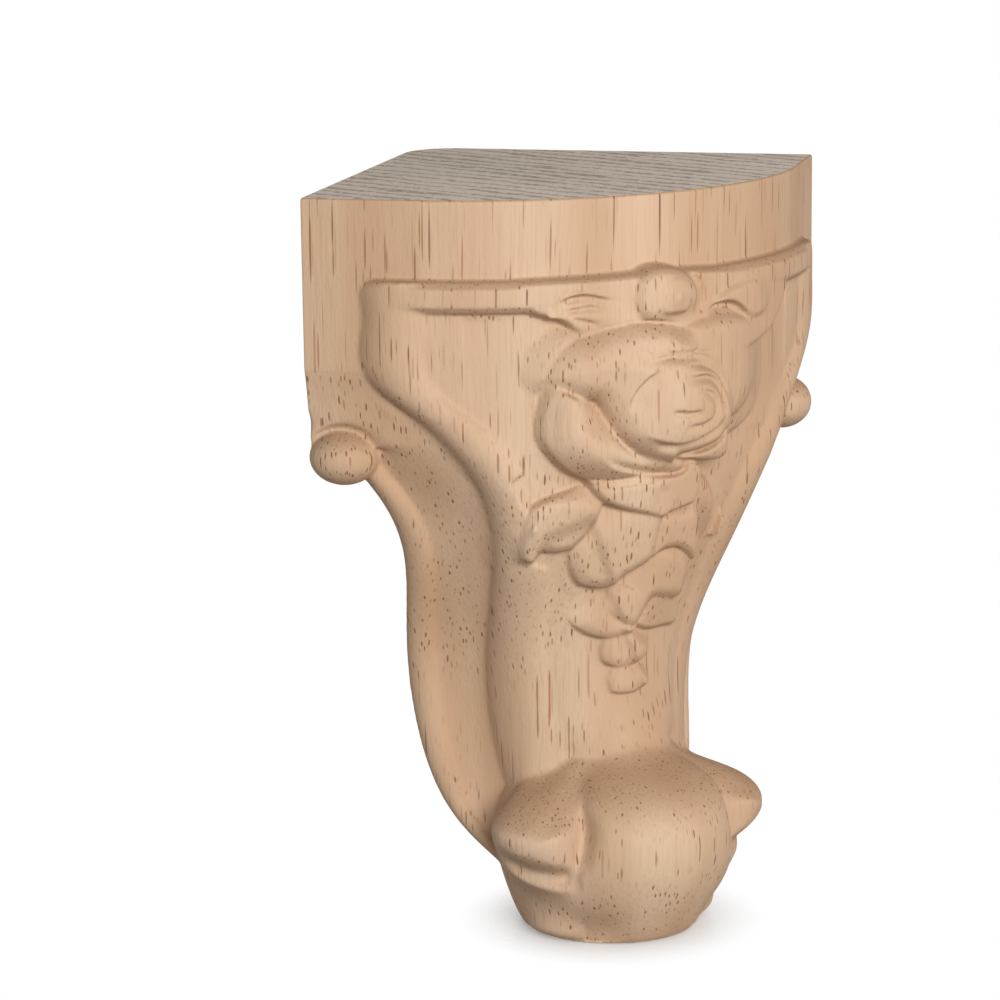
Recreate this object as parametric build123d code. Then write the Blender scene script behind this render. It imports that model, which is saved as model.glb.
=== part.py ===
from build123d import *
import os
from math import atan, cos, degrees, radians, sin, sqrt

# Carved furniture leg, one piece of wood, in millimetres.
# Origin: centre of the flat foot on the floor. +Z up, the carved front faces -Y,
# the two flat mounting sides meet at the back corner.

# Overall sizes
HEIGHT = 120.0
SIDE_FLAT = 60.0            # straight run of each mounting side
CORNER_RADIUS = 8.0         # rounding of the back corner
FRONT_RADIUS = 51.0         # round front of the mounting block
FOOT_REACH = 60.0           # back corner to foot centre, along the diagonal
FOOT_RADIUS = 14.5          # flat standing face

# Mounting block and its raised border
BLOCK_HEIGHT = 39.0         # top face to the underside of the ears
EAR_SCOOP = 60.0            # radius of the hollow in each ear
EAR_DEPTH = 2.6             # its depth
RELIEF_DROP = 14.0          # top face to where the scooped back meets the back corner
RELIEF_DEPTH = 32.4         # how far the scoop has come in at the block's underside
RIM_DROP = 12.3             # top face to the border's top bar
RIM_WIDTH = 4.8
RIM_RISE = 2.5
RIM_SPREAD = 94.0           # degrees covered by the border's top bar

# Mouldings that run down the two faces of the leg
BEAD_RADIUS = 2.7
COVE_DEPTH = 1.2            # hollow below the plain face
RIDGE_RISE = 2.9
RIDGE_WIDTH = 5.4           # crest to heel
FIELD_DROP = 0.5            # field below the ridge's own curve

# Ear scrolls
SCROLL_LENGTH = 11.0
SCROLL_HEIGHT = 8.8
SCROLL_RISE = 5.0
HOOD = 1.32                 # hollow that the scroll sits in, against the scroll itself

# Rose
ROSE_RADIUS = 10.0          # outer ring of the rolled heart
ROSE_RISE = 8.2
LIP = 1.5                   # thickness of a rolled petal edge

# Foot
TOE_REACH = 21.2            # foot centre to the front of the middle lobe
SIDE_REACH = 26.4           # foot centre to the tip of a side lobe
DIMPLE_REACH = 20.4         # foot centre to the dimple between two lobes
HEEL_REACH = 19.0           # foot centre to the back
TOE_LEVEL = 17.5            # height where the lobes stand out most
TOE_TOP = 30.0

SIDE = SIDE_FLAT + CORNER_RADIUS
TALL = HEIGHT / 120.0       # heights below are for a 120 mm leg and stretch with it
WIDE = SIDE / 68.0          # distances below are for a 68 mm block and stretch with it
BLOCK_BOTTOM = HEIGHT - BLOCK_HEIGHT

# Guide lines of the leg: (height, distance) pairs, read off along a smooth run.
# Face: how far the moulded face stands out. Edge: where its outer bead ends.
# Ridge: where the inner ridge runs. Field and back: front and back of the middle.
# Deep: share of the full cove depth. Swell: how far the bead stands above the face.
FACE = ((5, 8), (16, 8), (34, 6.7), (44, 7.8), (54, 11.5), (71, 19.2), (80, 22.6), (88, 24.1), (96, 25))
EDGE = ((5, -12.5), (16, -23.4), (26, -29.4), (42, -32.2), (60, -30.6), (71, -32.4), (80, -38), (88, -41))
RIDGE = ((5, -4), (16, -8.2), (26, -11.7), (42, -13.6), (64, -10), (72, -10.2), (80, -14), (85, -18.8),
         (89, -24.2), (92.5, -27.8), (98, -28.6), (105, -28.4), (107.7, -26.8))
FIELD = ((5, -13), (16, -11), (26, -8.5), (42, -5.4), (54, -6.3), (71, -11.2), (80, -13.4), (88, -14.4))
BACK = ((5, 14.2), (16, 16.2), (34, 20), (54, 21), (71, 24.5), (80, 28), (88, 33))
DEEP = ((60, 1), (68, 0.95), (76, 0.35), (82, 0), (88, 0))
SWELL = ((5, 0.1), (26, 0.5), (66, 0.5), (80, -0.4), (88, -1.2))
SECTIONS = (107.7, 105, 98, 93, 89, 85, 80, 71, 58, 44, 30, 17, 5)


def along(line, z):
    """Distance on a guide line at nominal height z, on a smooth run through its pairs."""
    z = min(max(z, line[0][0]), line[-1][0])
    last = len(line) - 1
    i = max(k for k in range(last) if line[k][0] <= z)
    (z0, d0), (z1, d1) = line[i], line[i + 1]
    before, after = line[max(i - 1, 0)], line[min(i + 2, last)]
    slope0 = (d1 - before[1]) / (z1 - before[0])
    slope1 = (after[1] - d0) / (after[0] - z0)
    step = z1 - z0
    t = (z - z0) / step
    rise = d1 - d0
    bow0 = slope0 * step - rise
    bow1 = rise - slope1 * step
    return d0 + rise * t + t * (1 - t) * (bow0 * (1 - t) + bow1 * t)


def face_point(u, v, side):
    """Plan point at u along a moulded face and v out from the middle."""
    return side * (v - u) / sqrt(2), -(u + v) / sqrt(2)


def flip(point):
    """Mirror a plan point to the other side of the leg."""
    return -point[0], point[1]


def lifted(plan_points, z):
    """Plan points of the nominal leg brought to size and height."""
    return [Vector(x * WIDE, y * WIDE, z * TALL) for x, y in plan_points]


def leg_section(z):
    """Closed outline of the leg below the block at nominal height z, all of arcs."""
    face = along(FACE, z)
    edge = along(EDGE, z)
    ridge = along(RIDGE, z)
    band = min(1.0, 0.25 + z / 30.0)
    bead = BEAD_RADIUS * band
    u_bead = edge + bead
    v_bead = face + along(SWELL, z) - bead
    back, over, quirk = [
        face_point(u_bead + bead * cos(radians(a)), v_bead + bead * sin(radians(a)), 1)
        for a in (160, 95, 30)
    ]
    deep = band * along(DEEP, z)
    heel = face_point(ridge - RIDGE_WIDTH * band, face - 0.4 * deep, 1)
    crest = face_point(ridge, face + RIDGE_RISE * band, 1)
    hollow = face_point(
        (u_bead + bead + ridge - RIDGE_WIDTH * band) / 2, face - COVE_DEPTH * deep, 1
    )
    front = (0, along(FIELD, z))
    x_in = crest[0] - 0.92 * RIDGE_WIDTH * band
    inner = (x_in, front[1] + (crest[1] - front[1]) * (x_in / crest[0]) ** 2 + FIELD_DROP * band)
    half = [(back, over, quirk), (quirk, hollow, heel), (heel, crest, inner)]
    arcs = [Edge.make_three_point_arc(*lifted(arc, z)) for arc in half]
    arcs.append(Edge.make_three_point_arc(*lifted((inner, front, flip(inner)), z)))
    for arc in reversed(half):
        arcs.append(Edge.make_three_point_arc(*lifted([flip(p) for p in reversed(arc)], z)))
    arcs.append(Edge.make_three_point_arc(*lifted((flip(back), (0, along(BACK, z)), back), z)))
    return Wire(arcs)


def foot_section(z, middle, sides, share):
    """Closed outline of the foot at height z, from the round standing face (0) to the full lobes (1)."""
    spots = []
    for swell, reach, angle in (
        (middle, TOE_REACH, -90),
        (middle, DIMPLE_REACH, -41),
        (sides, SIDE_REACH, -15),
        (middle, HEEL_REACH, 8),
        (middle, HEEL_REACH, 90),
    ):
        radius = share * (FOOT_RADIUS + swell * (reach - FOOT_RADIUS))
        spots.append((radius * cos(radians(angle)), radius * sin(radians(angle))))
    front, dimple, lobe, flank, back = [Vector(x, y, z) for x, y in spots]
    mirror = [Vector(-p.X, p.Y, z) for p in (dimple, lobe, flank)]
    return Wire([
        Edge.make_three_point_arc(mirror[0], front, dimple),
        Edge.make_three_point_arc(dimple, lobe, flank),
        Edge.make_three_point_arc(flank, back, mirror[2]),
        Edge.make_three_point_arc(mirror[2], mirror[1], mirror[0]),
    ])


def field_depth(x, z):
    """Depth of the plain front of the nominal leg at x, z."""
    crest = face_point(along(RIDGE, z), along(FACE, z) + RIDGE_RISE, 1)
    front = along(FIELD, z) - 0.6
    return front + (crest[1] - front) * (x / crest[0]) ** 2


def on_front(x, z, sink=0.0, turn=0.0):
    """Place on the carved front at nominal x, z: local x right, y up, z out of the wood."""
    swing = degrees(atan(field_depth(x + 0.5, z) - field_depth(x - 0.5, z)))
    pitch = degrees(atan((field_depth(x, z - 2) - field_depth(x, z + 2)) / 4))
    spot = (x * WIDE, field_depth(x, z) * WIDE + sink, z * TALL)
    facing = Plane(origin=spot, x_dir=(1, 0, 0), z_dir=(0, -1, 0)).location
    return facing * Rotation(0, swing, 0) * Rotation(pitch, 0, 0) * Rotation(0, 0, turn)


def swelling(length, width, rise):
    """Smooth pebble-like swelling along local x."""
    return scale(Sphere(1), by=(length / 2, width / 2, rise))


def bud(size, rise):
    """Round bud cut in bands, out along local z."""
    half = Polyline(
        (0, -1), (size, -1), (0.93 * size, 0.4 * rise), (0.62 * size, 0.8 * rise), (0, rise), close=True
    )
    return revolve(Plane.XZ * make_face(half), Axis.Z)


def blade(length, width, z):
    """Pointed leaf outline along x at height z."""
    tip, root = (length / 2, 0, z), (-length / 2, 0, z)
    upper = Edge.make_three_point_arc(root, (-0.06 * length, width / 2, z), tip)
    lower = Edge.make_three_point_arc(tip, (-0.06 * length, -width / 2, z), root)
    return Wire([upper, lower])


def leaf(length, width, rise):
    """Pointed leaf along local x with sloping sides and a valley down its middle."""
    outlines = [blade(1.1 * length, 1.2 * width, -3), blade(0.94 * length, 0.88 * width, rise)]
    body = Solid.make_loft(outlines, True)
    deep = 0.34 * rise
    valley = Polyline((0, rise - deep), (width, rise + deep), (-width, rise + deep), close=True)
    return body - extrude(Plane.YZ * make_face(valley), length, both=True)


def cup(radius, toward, height, tilt):
    """Rolled petal edge: a flared ring tipped so that one side stands higher."""
    wall = Polyline(
        (radius - 1.5 * LIP, -4),
        (radius - 0.6 * LIP, -4),
        (radius, height - 0.25 * LIP),
        (radius - 0.35 * LIP, height),
        (radius - LIP, height - 0.6 * LIP),
        close=True,
    )
    ring = revolve(Plane.XZ * make_face(wall), Axis.Z)
    return Rotation(0, 0, toward) * Rotation(0, -tilt, 0) * ring


# Mounting block: square plan, round front corner, eased back corner, scooped back
centre_y = FOOT_REACH - SIDE / sqrt(2)
with BuildSketch() as plan:
    with Locations((0, centre_y)):
        Rectangle(SIDE, SIDE, rotation=45)
    fillet(plan.vertices().sort_by(Axis.Y)[0], FRONT_RADIUS)
    fillet(plan.vertices().sort_by(Axis.Y)[-1], CORNER_RADIUS)
block = Pos(0, 0, BLOCK_BOTTOM) * extrude(plan.sketch, BLOCK_HEIGHT)
with BuildSketch(Plane.YZ) as scoop:
    with BuildLine():
        low = (FOOT_REACH - RELIEF_DEPTH, BLOCK_BOTTOM - 1)
        high = (FOOT_REACH + 1, HEIGHT - RELIEF_DROP)
        ThreePointArc(low, (FOOT_REACH - 0.66 * RELIEF_DEPTH, BLOCK_BOTTOM + 14), high)
        Polyline(high, (FOOT_REACH + 1, BLOCK_BOTTOM - 1), low)
    make_face()
block = block - extrude(scoop.sketch, SIDE, both=True)
for side in (-1, 1):
    hx, hy = face_point(0, SIDE / 2 - centre_y / sqrt(2) + EAR_SCOOP - EAR_DEPTH, side)
    roll = Pos(hx, hy, BLOCK_BOTTOM - 5) * Rotation(0, 0, 45 * side) * Rotation(0, 90, 0)
    block = block - roll * Cylinder(EAR_SCOOP, 2 * SIDE)

# Leg below the block
stem = Solid.make_loft([leg_section(z) for z in SECTIONS])

# Top bar of the raised border
arc_y = FOOT_REACH - SIDE * sqrt(2) + FRONT_RADIUS * sqrt(2)
with BuildSketch(Plane.XZ) as bar_profile:
    with Locations((FRONT_RADIUS + RIM_RISE / 2 - 1, HEIGHT - RIM_DROP - RIM_WIDTH / 2)):
        Rectangle(RIM_RISE + 2, RIM_WIDTH)
    chamfer(bar_profile.vertices(), 0.23 * RIM_WIDTH)
bar = revolve(bar_profile.sketch, Axis.Z, revolution_arc=RIM_SPREAD)
bar = Pos(0, arc_y, 0) * Rotation(0, 0, -90 - RIM_SPREAD / 2) * bar

# Ear scrolls
scrolls = []
hollows = []
for side in (-1, 1):
    sx, sy = face_point(-37.4 * WIDE, 21.4 * WIDE, side)
    facing = Rotation(0, 0, side * 45)
    curl = swelling(SCROLL_LENGTH, 2 * SCROLL_RISE, SCROLL_HEIGHT / 2)
    scrolls.append(Pos(sx, sy, BLOCK_BOTTOM - 1.8) * facing * curl)
    sx, sy = face_point(-36.8 * WIDE, 24.0 * WIDE, side)
    dish = swelling(HOOD * SCROLL_LENGTH, 0.9 * SCROLL_RISE, 0.5 * HOOD * SCROLL_HEIGHT)
    hollows.append(Pos(sx, sy, BLOCK_BOTTOM - 1.8) * facing * dish)

# Rose: swelling, outer petals, rolled heart of tipped cups and a core
heart = on_front(-0.8, 89)
petals = [heart * swelling(2.7 * ROSE_RADIUS, 2.2 * ROSE_RADIUS, ROSE_RISE - 2.0)]
for x, z, turn, length, width, rise, tip in (
    (-12.5, 84.6, -42, 28, 16, 5.2, -12),
    (-9.5, 94.4, 38, 21, 14, 5.2, 12),
    (8.5, 95.0, -34, 21, 13, 4.8, 12),
    (13.5, 88.5, -85, 20, 12, 4.2, -12),
    (9.5, 82.2, 38, 22, 13, 4.8, -12),
    (-1.0, 73.4, 0, 21, 10, 4.0, -12),
):
    petals.append(on_front(x, z, 0.4, turn) * Rotation(tip, 0, 0) * swelling(length, width, rise))
for radius, toward, height, right, up in (
    (1.0, 200, 0.72, 0, 0),
    (0.72, 60, 0.86, 0.8, 0.5),
    (0.45, 250, 0.96, 0.3, 1.0),
):
    petals.append(heart * Pos(right, up, 0) * cup(ROSE_RADIUS * radius, toward, ROSE_RISE * height, 12))
petals.append(heart * Pos(0.2, 0.8, ROSE_RISE - 2.0) * bud(2.2, 2.4))

# Leaves and buds around the rose and down the drop
greens = []
for x, z, size, rise in ((0, 104.4, 4.6, 5.4), (-1.2, 46.4, 3.6, 3.2), (-1.2, 41.0, 3.2, 2.9)):
    greens.append(on_front(x, z) * bud(size, rise))
for x, z, turn, length, width, rise in (
    (-13.0, 102.2, -14, 15, 8, 3.4),
    (15.0, 102.0, 14, 15, 8, 3.2),
    (-15.6, 69.4, 50, 17, 9.5, 2.8),
    (11.2, 68.4, -56, 13, 7.5, 2.6),
    (-6.6, 64.6, 58, 19, 11, 3.2),
    (7.0, 63.8, -58, 17, 10, 3.0),
    (-5.2, 52.6, 42, 14, 8.5, 2.5),
    (4.4, 55.8, -62, 14, 9, 2.7),
):
    greens.append(on_front(x, z, 0.3, turn) * leaf(length, width, rise))

# Foot: round at the floor, swelling into a middle lobe and two side lobes
lobed = []
for level, middle, sides, share in (
    (0, 0, 0, 1),
    (0.28, 0.5, 0.27, 1),
    (0.57, 0.84, 0.48, 1),
    (1, 1, 1, 1),
    (1.28, 0.84, 0.66, 0.97),
    (1.52, 0.5, 0.2, 0.8),
    (TOE_TOP / TOE_LEVEL, 0.1, 0, 0.5),
):
    lobed.append(foot_section(level * TOE_LEVEL * TALL, middle, sides, share))
foot = Solid.make_loft(lobed)

leg = stem.fuse(block, foot, bar)
for hollow, scroll in zip(hollows, scrolls):
    leg = leg.cut(hollow).fuse(scroll)
for ornament in petals + greens:
    leg = leg.fuse(ornament)
leg = leg.solids().sort_by(SortBy.VOLUME)[-1]
leg.label = "leg"

os.makedirs("parts", exist_ok=True)
export_step(leg, "parts/leg.step")
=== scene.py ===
"""Looks of a carved furniture leg in bare rubberwood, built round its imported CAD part."""

import logging
import math
from dataclasses import dataclass
from enum import Enum
from typing import Any, Union

import bpy
import numpy as np
from mathutils import Matrix, Vector


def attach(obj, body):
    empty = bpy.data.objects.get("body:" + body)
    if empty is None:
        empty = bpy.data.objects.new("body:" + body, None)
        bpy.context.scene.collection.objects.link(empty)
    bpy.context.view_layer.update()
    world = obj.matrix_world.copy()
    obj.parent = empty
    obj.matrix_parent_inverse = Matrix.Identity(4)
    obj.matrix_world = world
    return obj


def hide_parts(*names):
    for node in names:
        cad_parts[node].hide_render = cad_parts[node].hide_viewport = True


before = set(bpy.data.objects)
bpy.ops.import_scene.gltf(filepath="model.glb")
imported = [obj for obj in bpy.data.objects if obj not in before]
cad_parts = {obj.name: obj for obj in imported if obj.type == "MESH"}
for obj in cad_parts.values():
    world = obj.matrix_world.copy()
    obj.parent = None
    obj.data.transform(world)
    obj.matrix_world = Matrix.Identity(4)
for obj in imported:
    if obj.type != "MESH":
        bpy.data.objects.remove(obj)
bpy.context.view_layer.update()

MM = 0.001
LOG = logging.getLogger("carved_leg")

Colour = tuple[float, float, float, float]
Triple = tuple[float, float, float]
Points = tuple[tuple[float, float], ...]


class BlockTurn(Enum):
    """Turns that bring the block's sides in line with the axes and back."""

    SQUARE = math.radians(45)
    BACK = math.radians(-45)


class Edge(Enum):
    """How the surface goes on past a carved line."""

    STEP = "drops at once and comes back"
    FACET = "slopes away and stays down"


class Signal:
    """One output socket of a node tree, used in Python expressions."""

    def __init__(self, recipe: "Recipe", socket: bpy.types.NodeSocket) -> None:
        """Keep the socket and the recipe that it belongs to."""
        self.recipe = recipe
        self.socket = socket

    def _math(self, operation: str, first: Any, second: Any) -> "Signal":
        """Add a Math node.

        Args:
            operation: The Math node's operation.
            first: Left side of the expression.
            second: Right side of the expression.

        Returns:
            The node's value.
        """
        return self.recipe.node("ShaderNodeMath", {"operation": operation}, {0: first, 1: second})

    def __add__(self, other: Any) -> "Signal":
        """Sum of two values."""
        return self._math("ADD", self, other)

    def __radd__(self, other: Any) -> "Signal":
        """Sum of two values, reflected."""
        return self._math("ADD", other, self)

    def __sub__(self, other: Any) -> "Signal":
        """Difference of two values."""
        return self._math("SUBTRACT", self, other)

    def __rsub__(self, other: Any) -> "Signal":
        """Difference of two values, reflected."""
        return self._math("SUBTRACT", other, self)

    def __mul__(self, other: Any) -> "Signal":
        """Product of two values."""
        return self._math("MULTIPLY", self, other)

    def __rmul__(self, other: Any) -> "Signal":
        """Product of two values, reflected."""
        return self._math("MULTIPLY", other, self)

    def __or__(self, other: Any) -> "Signal":
        """Larger of two values."""
        return self._math("MAXIMUM", self, other)

    def __ror__(self, other: Any) -> "Signal":
        """Larger of two values, reflected."""
        return self._math("MAXIMUM", other, self)

    def __abs__(self) -> "Signal":
        """Size of a value, without its sign."""
        return self._math("ABSOLUTE", self, 0.0)

    def beside(self, name: str) -> "Signal":
        """Another output of the same node."""
        return Signal(self.recipe, self.socket.node.outputs[name])

    def step(self, low: float, high: float) -> "Signal":
        """Ease from 0 to 1.

        Args:
            low: Value that gives 0.
            high: Value that gives 1.

        Returns:
            The eased value.
        """
        return self.recipe.node(
            "ShaderNodeMapRange",
            {"interpolation_type": "SMOOTHSTEP"},
            {"Value": self, "From Min": low, "From Max": high, "To Min": 0.0, "To Max": 1.0},
        )


Feed = Union[Signal, float, tuple]


class Recipe:
    """Node tree of one material or world, filled by expressions."""

    def __init__(self, owner: Union[bpy.types.Material, bpy.types.World]) -> None:
        """Empty the node tree of a material or world.

        Args:
            owner: What the tree belongs to.
        """
        owner.use_nodes = True
        self.owner = owner
        self.tree = owner.node_tree
        self.tree.nodes.clear()

    def node(self, kind: str, settings: dict[str, Any], feeds: dict[Any, Feed], out: Any = 0) -> Signal:
        """Add a node of any kind.

        Args:
            kind: The node's type.
            settings: Its properties, set before its sockets.
            feeds: Values or signals for its input sockets.
            out: Name or number of the output that is returned.

        Returns:
            The chosen output.
        """
        made = self.tree.nodes.new(kind)
        for key, value in settings.items():
            setattr(made, key, value)
        for key, value in feeds.items():
            if isinstance(value, Signal):
                self.tree.links.new(value.socket, made.inputs[key])
            else:
                made.inputs[key].default_value = value
        return Signal(self, made.outputs[out])

    def finish(self, shade: Signal, output: str = "ShaderNodeOutputMaterial") -> None:
        """Join the finished shader to the tree's output.

        Args:
            shade: The shader.
            output: The output node's type.
        """
        end = self.tree.nodes.new(output)
        self.tree.links.new(shade.socket, end.inputs["Surface"])

    def mix(self, factor: Feed, first: Feed, second: Feed) -> Signal:
        """Mix two colours.

        Args:
            factor: Share of the second colour.
            first: Colour at 0.
            second: Colour at 1.

        Returns:
            The mixed colour.
        """
        return self.node("ShaderNodeMix", {"data_type": "RGBA"}, {0: factor, 6: first, 7: second}, 2)


@dataclass(frozen=True)
class Speckle:
    """A noise with so many cells per metre along each axis, eased between two of its values."""

    stretch: Triple
    detail: float = 2.0
    low: float = 0.0
    high: float = 1.0

    def raw(self, r: Recipe, place: Signal) -> Signal:
        """Sample the noise.

        Args:
            r: The material being built.
            place: Coordinates in metres.

        Returns:
            The noise, from 0 to 1.
        """
        at = r.node("ShaderNodeMapping", {}, {"Vector": place, "Scale": self.stretch})
        return r.node("ShaderNodeTexNoise", {}, {"Vector": at, "Scale": 1.0, "Detail": self.detail})

    def eased(self, noise: Signal) -> Signal:
        """Ease a sample of the noise between its two values."""
        return noise.step(self.low, self.high)

    def on(self, r: Recipe, place: Signal) -> Signal:
        """Sample the noise and ease it."""
        return self.eased(self.raw(r, place))


@dataclass(frozen=True)
class Vessels:
    """Slender tubes along the grain, so many per metre along each axis."""

    stretch: Triple
    width: float
    bare: float
    core: float = 0.55
    dark: float = 0.75
    least: float = 0.1

    def on(self, r: Recipe, grain: Signal) -> Signal:
        """Scatter the tubes: width is a radius against the spacing, bare the share that stays pale.

        Args:
            r: The material being built.
            grain: Coordinates that follow the grain.

        Returns:
            How much of a tube shows, from 0 to 1.
        """
        at = r.node("ShaderNodeMapping", {}, {"Vector": grain, "Scale": self.stretch})
        feeds = {"Vector": at, "Scale": 1.0, "Randomness": 1.0}
        away = r.node("ShaderNodeTexVoronoi", {"feature": "F1"}, feeds, "Distance")
        own = r.node("ShaderNodeSeparateXYZ", {}, {0: away.beside("Color")}, "X")
        depth = own.step(self.bare, 1.0) * self.dark + self.least
        return (1.0 - away.step(self.core * self.width, self.width)) * depth


def srgb(red: int, green: int, blue: int) -> Colour:
    """Turn a colour as seen on screen into linear light.

    Args:
        red: Red, 0 to 255.
        green: Green, 0 to 255.
        blue: Blue, 0 to 255.

    Returns:
        The colour with full alpha.
    """
    linear = [((c / 255 + 0.055) / 1.055) ** 2.4 for c in (red, green, blue)]
    return (*linear, 1.0)


@dataclass(frozen=True)
class BareWood:
    """Unfinished rubberwood with the grain upright."""

    pale: Colour = srgb(217, 187, 158)
    warm: Colour = srgb(199, 163, 131)
    # Darker brown for surfaces that face up or down: partly the end grain's own tone, partly painted shade
    # where the light falls weakly on them.
    end_grain_and_shade: Colour = srgb(172, 138, 109)
    pore: Colour = srgb(112, 58, 30)
    pore_red: Colour = srgb(162, 98, 60)
    sawn: Colour = srgb(238, 222, 206)
    sawn_dark: Colour = srgb(142, 119, 100)
    roughness: float = 0.8
    sheen: float = 0.2
    relief_depth: float = 0.2 * MM
    relief_strength: float = 0.5

    sway: Speckle = Speckle((18.0, 18.0, 22.0))
    sway_width: float = 2.4 * MM
    board: Speckle = Speckle((60.0, 60.0, 4.0), 3.0, 0.3, 0.7)
    fibre: Speckle = Speckle((2600.0, 2600.0, 50.0), 3.0, 0.42, 0.75)
    fuzz: Speckle = Speckle((2300.0, 2300.0, 900.0))
    tint: Speckle = Speckle((420.0, 420.0, 30.0), 1.0, 0.48, 0.66)
    crowd: Speckle = Speckle((90.0, 90.0, 30.0), 2.0, 0.4, 0.62)
    long_vessels: Vessels = Vessels((1250.0, 1250.0, 27.0), 0.26, 0.2)
    short_vessels: Vessels = Vessels((1750.0, 1750.0, 80.0), 0.31, 0.35)

    sawn_height: float = 119.4 * MM
    sawn_blend: float = 0.2 * MM
    speck: Speckle = Speckle((1900.0, 1900.0, 10.0), 2.0, 0.52, 0.72)
    saw_slant: tuple[float, float] = (0.958, 0.286)
    saw_pitch: float = 3.6 * MM
    saw_waver: tuple[float, float] = (300.0, 60.0)
    saw_breaks: Speckle = Speckle((700.0, 700.0, 10.0))

    def material(self) -> bpy.types.Material:
        """Build the wood.

        Returns:
            The material.
        """
        r = Recipe(bpy.data.materials.new("bare_wood"))
        place = r.node("ShaderNodeTexCoord", {}, {}, "Object")
        tilt = r.node("ShaderNodeNewGeometry", {}, {}, "Normal")
        upward = r.node("ShaderNodeSeparateXYZ", {}, {0: tilt}, "Z")
        grain = self._swayed(r, place)
        fibre, fuzz = self.fibre.raw(r, grain), self.fuzz.raw(r, place)
        pores = self._pores(r, grain)
        colour = r.mix(self.board.on(r, grain), self.pale, self.warm)
        colour = r.mix(self.fibre.eased(fibre) * 0.5, colour, self.warm)
        # Painted shade, partly end-grain tone: surfaces facing up or down, by the normal's Z, are mixed towards
        # the darker brown.
        colour = r.mix(abs(upward).step(0.2, 0.85) * (fuzz * 0.5 + 0.45), colour, self.end_grain_and_shade)
        colour = r.mix(pores, colour, r.mix(self.tint.on(r, grain), self.pore, self.pore_red))
        height = r.node("ShaderNodeSeparateXYZ", {}, {0: place}, "Z")
        top = upward.step(0.9, 0.98) * height.step(self.sawn_height - self.sawn_blend, self.sawn_height)
        saw = self._saw_lines(r, place)
        marks = saw * 0.6 + self.speck.on(r, place) * 0.4
        colour = r.mix(top, colour, r.mix(marks, self.sawn, self.sawn_dark))
        relief = fibre * 0.35 + fuzz * 0.65 - pores * 0.9 - top * saw * 1.2
        depth = {"Strength": self.relief_strength, "Distance": self.relief_depth, "Height": relief}
        look = {
            "Base Color": colour, "Roughness": self.roughness, "IOR": 1.4, "Specular IOR Level": self.sheen,
            "Normal": r.node("ShaderNodeBump", {}, depth),
        }
        r.finish(r.node("ShaderNodeBsdfPrincipled", {}, look))
        return r.owner

    def _swayed(self, r: Recipe, place: Signal) -> Signal:
        """Let the grain wander a little to the side as it rises.

        Args:
            r: The material being built.
            place: Coordinates in metres.

        Returns:
            Coordinates that follow the grain.
        """
        sway = (self.sway.raw(r, place) - 0.5) * self.sway_width
        aside = r.node("ShaderNodeCombineXYZ", {}, {"X": sway, "Y": sway * 0.6})
        return r.node("ShaderNodeVectorMath", {"operation": "ADD"}, {0: place, 1: aside})

    def _pores(self, r: Recipe, grain: Signal) -> Signal:
        """Open the wood's vessels: fine tubes along the grain, cut long or short by the surface.

        Args:
            r: The material being built.
            grain: Coordinates that follow the grain.

        Returns:
            How much of a pore shows, from 0 to 1.
        """
        long = self.long_vessels.on(r, grain)
        short = self.short_vessels.on(r, grain)
        return long * 0.9 + short * (self.crowd.on(r, grain) * 0.65 + 0.25) - long * short * 0.7

    def _saw_lines(self, r: Recipe, place: Signal) -> Signal:
        """Draw the marks that the saw left on the cut end.

        Args:
            r: The material being built.
            place: Coordinates in metres.

        Returns:
            How dark a mark is, from 0 to 1.
        """
        east = r.node("ShaderNodeSeparateXYZ", {}, {0: place}, "X")
        north = east.beside("Y")
        run, rise = self.saw_slant
        over = east * run + north * rise
        onward = east * rise - north * run
        across, along = self.saw_waver
        at = r.node("ShaderNodeCombineXYZ", {}, {"X": over * across, "Y": onward * along})
        waver = r.node("ShaderNodeTexNoise", {}, {"Vector": at, "Scale": 1.0, "Detail": 4.0})
        turn = over * (2 * math.pi / self.saw_pitch) + waver * 9.0
        wave = r.node("ShaderNodeMath", {"operation": "SINE"}, {0: turn})
        return (wave * 0.5 + self.saw_breaks.raw(r, place) * 1.3 - 0.45).step(0.3, 0.75)


def ease(value: np.ndarray, low: float, high: float) -> np.ndarray:
    """Ease from 0 at low to 1 at high.

    Args:
        value: Values to ease.
        low: Where it starts.
        high: Where it ends.

    Returns:
        Eased values.
    """
    t = np.clip((value - low) / (high - low), 0, 1)
    return t * t * (3 - 2 * t)


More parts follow.
